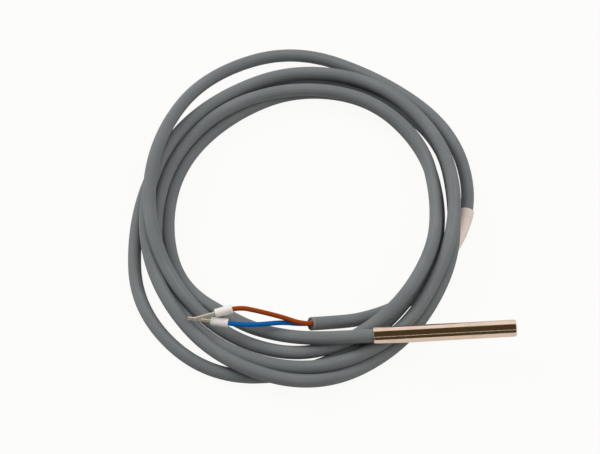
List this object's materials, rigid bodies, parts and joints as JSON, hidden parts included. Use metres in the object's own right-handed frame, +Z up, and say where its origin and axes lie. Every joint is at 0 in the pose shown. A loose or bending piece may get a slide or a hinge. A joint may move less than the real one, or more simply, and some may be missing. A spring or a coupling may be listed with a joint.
{
  "type": "cable temperature probe",
  "caption": "Steel sleeve probe with a closed tip on a coiled grey cable; the free end has brown and blue cores in wire ferrules.",
  "frame": {"origin": "centre of the flat face on the sleeve's closed tip", "axes": "+X along the sleeve's axis, out of the tip; +Z up, away from the surface that the coil lies on"},
  "size_m": [0.135, 0.1444, 0.0162],
  "materials": {
    "steel": "bright drawn stainless steel",
    "jacket": "grey PVC, satin",
    "brown_insulation": "brown PVC",
    "blue_insulation": "blue PVC",
    "collar": "white polypropylene",
    "tin": "tin-plated copper",
    "copper": "bare copper strands",
    "label": "bare wrap label",
    "resin": "cured potting resin",
    "tubing": "insulating tubing",
    "ceramic": "alumina",
    "glaze": "fired glass drop",
    "lead_wire": "plated nickel wire"
  },
  "bodies": {
    "root": {"barrel_blue": "tin", "barrel_brown": "tin", "cable_coil": "jacket", "cable_label": "label", "cable_lead": "jacket", "cable_tail": "jacket", "chip_glaze": "glaze", "collar_blue": "collar", "collar_brown": "collar", "core_blue": "blue_insulation", "core_brown": "brown_insulation", "element_lead_blue": "lead_wire", "element_lead_brown": "lead_wire", "jacket_entry": "jacket", "potting": "resin", "probe_sleeve": "steel", "sensor_chip": "ceramic", "sensor_conductor_blue": "copper", "sensor_conductor_brown": "copper", "sensor_core_blue": "blue_insulation", "sensor_core_brown": "brown_insulation", "splice_blue": "tin", "splice_brown": "tin", "splice_tubing_blue": "tubing", "splice_tubing_brown": "tubing", "strands_blue": "copper", "strands_brown": "copper"}
  },
  "joints": []
}
